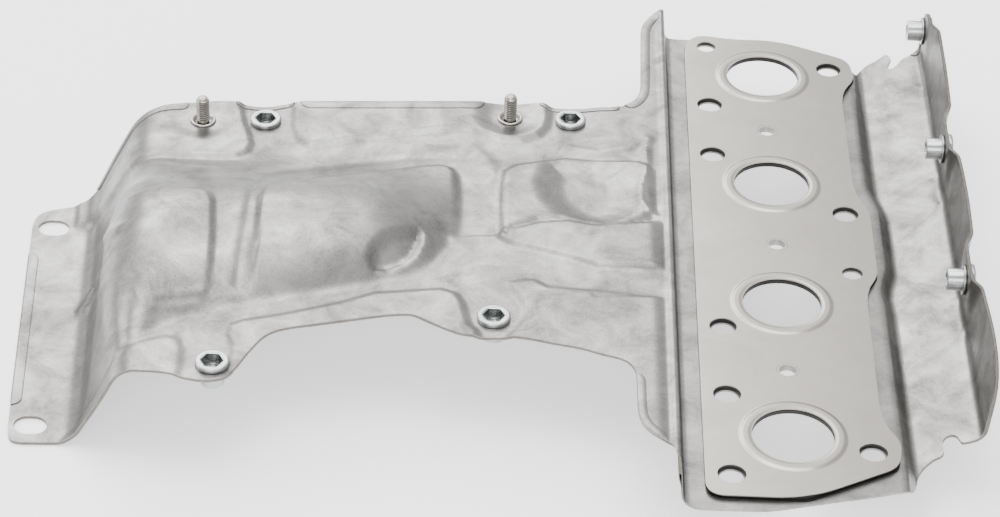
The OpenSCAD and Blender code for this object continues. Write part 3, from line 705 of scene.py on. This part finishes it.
def studs():
    """Threaded studs with a plain tip, a collar and a hexagon head, each in a flared eyelet."""
    stem = [(thread(2.42 + 0.4 * max(0, 1 - (z - 0.5) / 1), 2.98), z) for z in np.arange(0.6, 11.35, 0.1)]
    foot = -SHEET - 0.75
    stud = [(hexagon(9.6), foot - 4.5), (hexagon(10), foot - 4.3), (hexagon(10), foot - 1.5),
            (6.2, foot - 1.5), (6.4, foot - 1.3), (6.4, foot - 0.5), (5.8, foot), (2.6, foot), (2.6, 0.1),
            (2.8, 0.4)] + stem + [
            (2.5, 11.45), (2.4, 11.6), (2.3, 12.0), (2.1, 12.25), (1.75, 12.42), (1.2, 12.5)]
    flare = [(2.95, foot + 0.15), (5.2, foot + 0.15), (5.3, foot + 0.3), (5.3, -SHEET), (4.35, -SHEET),
             (4.35, 0), (5.5, 0), (5.75, 0.2), (5.8, 0.45), (5.65, 0.8), (5.3, 1.0), (4.9, 1.0), (4.5, 0.8),
             (4.1, 0.35), (3.85, -0.1), (3.6, -0.45), (3.2, -0.6), (2.95, -0.65)]
    for name, (x, y) in STUDS.items():
        # Painted shade in the thread roots: the steel darkens towards the core.
        turned("threaded_stud_" + name, stud, (x, y, WING), True, STUD, False, body="turning_stud_" + name,
               shade=lambda r, z: np.where((z > 0.4) & (z < 11.4), np.clip((2.95 - r) / 0.5, 0, 1), 0),
               replaces=["stud_" + name], slot="stud_steel")
        turned("flared_eyelet_" + name, flare, (x, y, WING), True, EYELET, True, body=ROOT,
               replaces=["stud_eyelet_" + name], slot="eyelet_steel")


GASKET_EDGE = [
    [-36.4, -169.6, 8], [4, -169.8, 14], [41.5, -149, 6], [43.6, -134, 5], [36.3, -120, 14], [36.6, -34, 12],
    [42.6, -22, 5], [42.6, 26, 6], [36.6, 40, 12], [36.4, 120, 10], [43.6, 133, 5], [41.5, 149, 6],
    [8, 164.2, 12], [-12, 163.4, 20], [-30, 166.6, 6], [-36.2, 158, 8]]


def gasket_top():
    """The upper layer: flat, with a raised ring round each port.

    The ring's height is a smooth step down of the distance from the port's middle, a bit lower at the hole.
    """
    loops = [rounded(GASKET_EDGE, step=1.5)]
    loops += [circle(x, y, GASKET_PORT, 120) for x, y in PORTS]
    loops += [circle(x, y, GASKET_BOLT_HOLE) for x, y in BOLTS]
    loops += [circle(x, y, LOCATING_HOLE) for x, y in LOCATORS]
    loops += [circle(x, y, RIVET_HOLE, 32) for x, y in RIVETS]
    columns, rows = np.arange(-38, 45, 4.0), np.arange(-171, 168, 4.0)
    g = np.stack(np.meshgrid(columns, rows, indexing="ij"), -1).reshape(-1, 2)
    far = np.min([np.hypot(g[:, 0] - x, g[:, 1] - y) for x, y in PORTS], axis=0) > 25
    points, off = [g[far]], [np.full(far.sum(), 1.2)]
    for x, y in PORTS:
        for r in np.arange(17.15, 24.2, 0.3):
            points.append(circle(x, y, r, 120))
            off.append(np.full(120, 0.18))
    v, f = blank(loops, np.vstack(points), np.concatenate(off))
    r = np.min([np.hypot(v[:, 0] - x, v[:, 1] - y) for x, y in PORTS], axis=0)
    h = 0.55 * smooth((22.1 - r) / 1.8) * (0.75 + 0.25 * smooth((r - 17) / 1.5))
    top = np.column_stack([v, h])
    low = np.column_stack([v, h - 0.5])
    sheet_solid("beaded_top_layer", (v, f), top, low, GASKET, body=ROOT, replaces=["gasket_upper_layer"],
                slot="gasket_steel", smooth_angle=30)


# ---------------------------------------------------------------- assembly

# Steep faces of the sheet are darkened by 0.6 of their tilt: painted shade.
ALUMINISED = metal("aluminised sheet", "#716f6d", "#a6a4a2", (0.3, 0.46), 0.7, 20, 0.14, drawn=0.6)
INSULATION = metal("insulation fibre", "#5f5a54", "#78726a", (0.9, 1.0), 0.4, 3, 0.5, 0.0)
GASKET = metal("gasket steel", "#a39e97", "#b3aea7", (0.27, 0.33), 0.5, 40, 0.03)
# The gasket's lower layers are painted near black, as painted shadow under the upper layer's edge.
LOWER_LAYERS_SHADE = metal("lower gasket layers painted shadow", "#161514", "#2a2826", (0.4, 0.5), 0.5, 10, 0.05, 0.4)
EYELET = metal("eyelet steel", "#a3a09b", "#b9b6b1", (0.22, 0.32), 0.4, 6, 0.03)
# The nuts' sockets and bores are darkened by up to a quarter: painted shade.
NUT = metal("zinc plated nut", "#a4a7a7", "#bcbfbe", (0.2, 0.3), 0.5, 5, 0.03, drawn=0.25)
WASHER = metal("zinc plated washer", "#969592", "#adaca9", (0.25, 0.35), 0.5, 5, 0.03)
# The stud's thread roots are darkened by up to 0.85: painted shade.
STUD = metal("stud steel", "#8f8b84", "#b0aca5", (0.25, 0.4), 0.5, 4, 0.05, drawn=0.85)

CAD_LOOKS = {"gasket_upper": GASKET, "gasket_lower": LOWER_LAYERS_SHADE, "gasket_carrier": LOWER_LAYERS_SHADE, "eyelet": EYELET,
             "nut_washer": WASHER, "nut": NUT, "stud_eyelet": EYELET, "stud": STUD, "insulation": INSULATION,
             "shield": ALUMINISED}
for node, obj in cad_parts.items():
    look = next(m for key, m in CAD_LOOKS.items() if node.startswith(key))
    for slot in obj.material_slots:
        slot.material = look

camera()
shield()
# Hems: name, start and end on the outline, width
HEMS = [
    ("flange_hem", (-329.5, 12), (-329.5, -95), 4.6),
    ("far_edge_hem", (-130, 82.3), (-214, 76.8), 5.2),
    ("far_left_nut_hem", (-216, 76.6), (-243, 75.6), 2.3),
    ("far_right_nut_hem", (-68, 85), (-105, 83.4), 2.3),
    ("side_wall_hem", (-262, 72.8), (-300, 54), 3.6),
    ("tongue_hem", (-50.6, 168), (-66, 86), 4.2),
    ("near_corner_hem", (-63.2, -112), (-52, -151), 3.6),
    ("panel_corner_hem", (93, 165.4), (73, 162), 3.4)]
for name, start, end, width in HEMS:
    hem(name, start, end, width)
captive_nuts()
studs()
gasket_top()

floor_z = (FLANGE - SHEET) * MM - 0.0002
bpy.ops.mesh.primitive_plane_add(size=8, location=(0, 0, floor_z))
floor = bpy.context.object
floor.name = "pale_floor"
paper = bpy.data.materials.new("pale floor")
paper.use_nodes = True
coat = paper.node_tree.nodes["Principled BSDF"].inputs
coat["Base Color"].default_value = srgb("#fafafa")
coat["Roughness"].default_value = 0.9
coat["Emission Color"].default_value = srgb("#ffffff")
coat["Emission Strength"].default_value = 0.9
floor.data.materials.append(paper)

world = bpy.data.worlds.new("studio")
world.use_nodes = True
world.node_tree.nodes["Background"].inputs["Color"].default_value = srgb("#f6f7f8")
world.node_tree.nodes["Background"].inputs["Strength"].default_value = 1.25
bpy.context.scene.world = world
area_light("back softbox", (-0.75, 1.9, 1.5), (-0.15, 0, 0), (1.8, 1.5), 44)
area_light("overhead softbox", (-0.2, 0.2, 1.6), (-0.12, 0, 0), (1.2, 1.2), 25)
area_light("left softbox", (-1.6, 0.3, 0.9), (-0.1, 0, 0), (0.9, 0.9), 12)
area_light("front softbox", (-0.4, -1.7, 0.9), (-0.2, 0, 0), (1.4, 0.9), 16)
